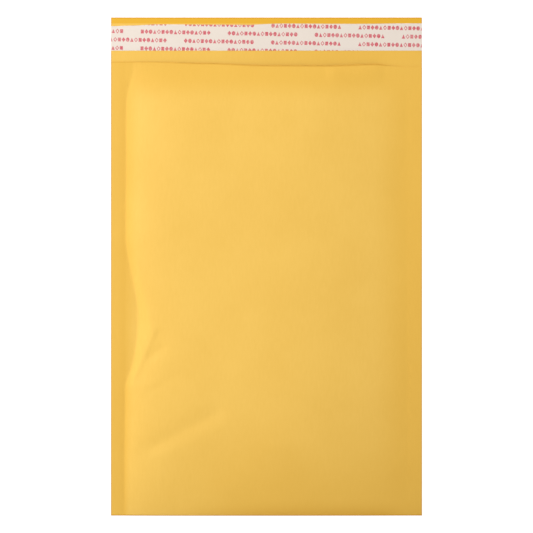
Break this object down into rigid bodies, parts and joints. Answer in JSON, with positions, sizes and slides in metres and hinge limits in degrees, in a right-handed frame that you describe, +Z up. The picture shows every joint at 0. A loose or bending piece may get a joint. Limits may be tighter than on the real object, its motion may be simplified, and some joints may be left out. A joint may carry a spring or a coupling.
{
  "type": "padded envelope",
  "caption": "Empty kraft padded envelope with a bubble film lining, welded side seams and an open peel-and-seal flap, lying on its back.",
  "frame": {"origin": "on the resting surface, under the middle of the envelope's outline, flap included", "axes": "+Y from the bottom fold towards the flap's edge, +Z up out of the front panel, X across from seam to seam"},
  "size_m": [0.24, 0.3844, 0.0106],
  "materials": {
    "kraft_paper": "matte",
    "bubble_film": "gloss",
    "hot_melt_glue": "satin",
    "release_paper": "satin"
  },
  "bodies": {
    "root": {"kraft_cover": "kraft_paper", "bubble_lining": "bubble_film", "glue_strip": "hot_melt_glue", "release_paper": "release_paper"}
  },
  "joints": []
}
